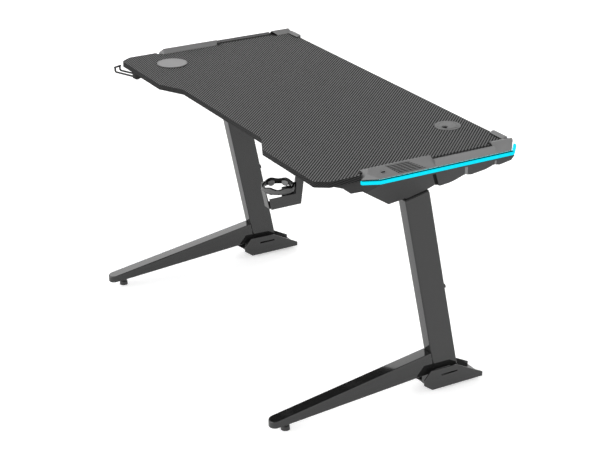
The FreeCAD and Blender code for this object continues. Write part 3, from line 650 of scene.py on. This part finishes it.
def isPetalEdge(edge):
    return max(fromAxis(vert.co) for vert in edge.verts) < petal["edgeInMm"] * mm


def isBand(face):
    outside = face.normal.z < cupRing["bandTilt"] and fromAxis(face.center) > cupRing["bandOutMm"] * mm
    return outside and face.center.z < cupRing["bandTopMm"] * mm


pick("FACE", isPetalFoot)
bpy.ops.mesh.extrude_region_move(TRANSFORM_OT_translate={"value": (0, 0, -petal["dropMm"] * mm)})
for column in range(1, petal["half"] + 1):
    rise = petal["endMm"] * (1 - math.sqrt(1 - (column / petal["half"]) ** 2))
    pick("VERT", lambda vert: vert.co.z < petal["tipBelowMm"] * mm and inColumn(vert.co, column))
    bpy.ops.transform.translate(value=(0, 0, rise * mm))
softenEdges(petal["edgeMm"], steps=2, longMm=0, keep=isPetalEdge)
closePiece(cupPiece, "cup_ring")
# painted reflection on the ring's outer band
tint(cupPiece, bandPaintedReflection, isBand)
# painted highlight on the petals
tint(cupPiece, petalPaintedLit, lambda face: fromAxis(face.center) < petal["paintedLitInMm"] * mm)
print("cup ring shaped")

# Desktop: the foil's rim is broken at the top, the board's edge underneath
desk = {
    "underMm": 2.0, "underLongMm": 12, "underBelowMm": 748.2,
    "rimMm": 0.6, "rimLongMm": 8, "rimAboveMm": 749.9}


def isUnderEdge(edge):
    return (lowOf(edge) + highOf(edge)) / 2 < desk["underBelowMm"] * mm


def isRimEdge(edge):
    return (lowOf(edge) + highOf(edge)) / 2 > desk["rimAboveMm"] * mm


panel = copyPart("desktop_panel")
softenEdges(desk["underMm"], steps=2, longMm=desk["underLongMm"], keep=isUnderEdge)
closePiece(panel, "desktop_panel")
sheet = copyPart("top_sheet")
softenEdges(desk["rimMm"], steps=2, longMm=desk["rimLongMm"], keep=isRimEdge)
closePiece(sheet, "top_sheet")
print("desktop edged")

# Grommet cap: a shallow ring groove runs round inside its rim
cap = {
    "grooveMm": (25.2, 26.8), "depthMm": 0.7, "edgeMm": 0.5, "columns": 64, "boreMm": 27.5, "plateMm": 2.6}
capPiece = copyPart("grommet_cap")
capLow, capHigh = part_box("grommet_cap")
capMiddle = (capLow + capHigh) / 2
softenEdges(cap["edgeMm"], steps=2, longMm=0, keep=lambda edge: highOf(edge) > capHigh.z - near)
bpy.ops.object.mode_set(mode="OBJECT")
grooveIn, grooveOut = (radius * mm for radius in cap["grooveMm"])
grooveDeep = cap["depthMm"] * mm
groover = startRing("groove_cutter", capMiddle, grooveOut, grooveIn, capHigh.z - grooveDeep,
                    2 * grooveDeep, (2 * grooveDeep,), cap["columns"])
bpy.ops.object.mode_set(mode="OBJECT")
cutAway(capPiece, groover)
openPiece(capPiece)
closePiece(capPiece, "grommet_cap")


def inBore(face):
    # the cable hole below the cap's plate, painted black as the shade inside it
    off = face.center - capMiddle
    inside = math.hypot(off.x, off.y) < cap["boreMm"] * mm
    return inside and face.center.z < capHigh.z - cap["plateMm"] * mm


# painted shade: the bore of the cap and sleeve in black
tint(capPiece, paintedShade, inBore)
tint(dressed["grommet_sleeve"], paintedShade, inBore)

# Charging disc: a dished pad in a shell whose rim is lacquered like it
disc = {"rimMm": 5.0, "dishMm": 0.5, "edgeMm": 0.8, "edgeAboveMm": 750.2, "rimTilt": 0.5}
pad = copyPart("charger_pad")
pick("FACE", lambda face: face.normal.z > facing)
bpy.ops.mesh.inset(thickness=disc["rimMm"] * mm, depth=0)
bpy.ops.mesh.inset(thickness=disc["rimMm"] * mm, depth=-disc["dishMm"] * mm)
closePiece(pad, "charger_pad")
shell = copyPart("charger_housing")
softenEdges(disc["edgeMm"], steps=2, longMm=0, keep=lambda edge: lowOf(edge) > disc["edgeAboveMm"] * mm)
closePiece(shell, "charger_housing")
tint(shell, chargerTop, lambda face: face.normal.z > disc["rimTilt"])
print("grommet and charging disc dressed")

# Fasteners: a hex socket or a cross recess is cut into every head
recess = {
    "hex": {"corners": 6, "radiusMm": 3.4, "depthMm": 3.0, "pinch": 1.0, "headMm2": 120},
    "cross": {"corners": 8, "radiusMm": 2.3, "depthMm": 1.5, "pinch": 0.34, "headMm2": 32},
}
lean = math.radians(11.5)  # the columns lean back by this
under = Vector((0, 0, -1))
behind = Vector((0, math.cos(lean), math.sin(lean)))
outside = [Vector((1, 0, 0)), Vector((-1, 0, 0))]
heads = {
    "bracket_screws": ("cross", [under]), "casing_screws": ("cross", [under]),
    "cup_screws": ("cross", [under]), "hook_screws": ("cross", [under]),
    "height_bolts_left": ("hex", [behind]), "height_bolts_right": ("hex", [behind]),
    "leg_bolts_left": ("hex", [under, behind]), "leg_bolts_right": ("hex", [under, behind]),
    "beam_bolts": ("hex", outside),
}


def headCentres(piece, way, leastMm2):
    # the middle of every head that faces the given way; shanks and the heads' undersides are smaller
    found = []
    for face in piece.data.polygons:
        if face.normal.dot(way) > square and face.area > leastMm2 * mm * mm:
            found.append(face.center.copy())
    return found


def recessTool(kind):
    # one upright cutter at the origin; a cross has every other corner drawn in
    look = recess[kind]
    bpy.ops.object.select_all(action="DESELECT")
    bpy.ops.mesh.primitive_cylinder_add(
        vertices=look["corners"], radius=look["radiusMm"] * mm, depth=2 * look["depthMm"] * mm,
        location=(0, 0, 0))
    tool = bpy.context.object
    bpy.ops.object.mode_set(mode="EDIT")
    pick("VERT", lambda vert: vert.index // 2 % 2 == 1)
    bpy.ops.transform.resize(value=(look["pinch"], look["pinch"], 1))
    bpy.ops.object.mode_set(mode="OBJECT")
    return tool


for name, (kind, ways) in heads.items():
    piece = copyPart(name)
    bpy.ops.object.mode_set(mode="OBJECT")
    tool = recessTool(kind)
    cutters = []
    for way in ways:
        for centre in headCentres(piece, way, recess[kind]["headMm2"]):
            cutter = bpy.data.objects.new("recess_cutter", tool.data.copy())
            turn = way.to_track_quat("Z", "Y").to_matrix().to_4x4()
            cutter.data.transform(Matrix.Translation(centre) @ turn)
            bpy.context.scene.collection.objects.link(cutter)
            cutters.append(cutter)
    print(name, len(cutters), "recesses")
    for cutter in cutters:
        cutAway(piece, cutter)
    bpy.data.objects.remove(tool)
    openPiece(piece)
    closePiece(piece, name)
print("recesses cut")

# Studio: a pale lit floor, white walls that dim towards the ceiling, a low softbox in front and one
# on each side
studio = {
    "white": (1, 1, 1, 1), "floorHex": "#ececec", "floorSize": 60.0, "floorRough": 0.9, "floorGlow": 0.45,
    "air": (1.25, 0.15), "airRise": (0.5, 0.75)}
bpy.ops.object.select_all(action="DESELECT")
bpy.ops.mesh.primitive_plane_add(size=studio["floorSize"], location=(0, 0, 0))
floor = bpy.context.object
floor.name = "studio_floor"
floorPaint = startMaterial(
    "floor_paint", studio["floorHex"], studio["floorRough"],
    Emission_Color=studio["white"], Emission_Strength=studio["floorGlow"])[0]
floor.data.materials.append(floorPaint)

# Softboxes: power, the way the light goes, and its spread in degrees
softboxes = {
    "front_softbox": (3.2, (0.15, 0.97, -0.18), 60),
    "right_softbox": (1.3, (-0.95, 0.0, -0.3), 80),
    "left_softbox": (0.6, (0.8, -0.33, -0.5), 45),
}
for name, (power, toward, spread) in softboxes.items():
    bpy.ops.object.light_add(type="SUN", location=(0, 0, 5))
    sun = bpy.context.object
    sun.name = name
    sun.data.energy = power
    sun.data.angle = math.radians(spread)
    sun.rotation_mode = "QUATERNION"
    sun.rotation_quaternion = Vector(toward).to_track_quat("-Z", "Y")
world = bpy.data.worlds.new("studio_air")
world.use_nodes = True
air = world.node_tree
backdrop = air.nodes["Background"]
backdrop.inputs["Color"].default_value = studio["white"]
airWay = addNode(air, "ShaderNodeTexCoord", {}).outputs["Generated"]
airHeight = addNode(air, "ShaderNodeSeparateXYZ", {"Vector": airWay})
airLight = addNode(air, "ShaderNodeMapRange", {
    "Value": airHeight.outputs["Z"], "From Min": studio["airRise"][0], "From Max": studio["airRise"][1],
    "To Min": studio["air"][0], "To Max": studio["air"][1]})
air.links.new(airLight.outputs["Result"], backdrop.inputs["Strength"])
bpy.context.scene.world = world
bpy.context.scene.view_settings.view_transform = "Standard"

# Camera where the photograph was taken from
lens = {
    "place": (3.971, -2.216, 2.290), "target": (0.0955, -0.0118, 0.3837), "rollDeg": -0.36,
    "focal": 96.6, "sensor": 36.0, "far": 200.0}
bpy.ops.object.camera_add(location=lens["place"])
camera = bpy.context.object
camera.name = "photo_camera"
camera.data.lens = lens["focal"]
camera.data.sensor_width = lens["sensor"]
camera.data.clip_end = lens["far"]
camera.rotation_mode = "QUATERNION"
lookWay = Vector(lens["target"]) - Vector(lens["place"])
roll = Quaternion((0, 0, 1), math.radians(lens["rollDeg"]))
camera.rotation_quaternion = lookWay.to_track_quat("-Z", "Y") @ roll
bpy.context.scene.camera = camera
print("studio and camera set")
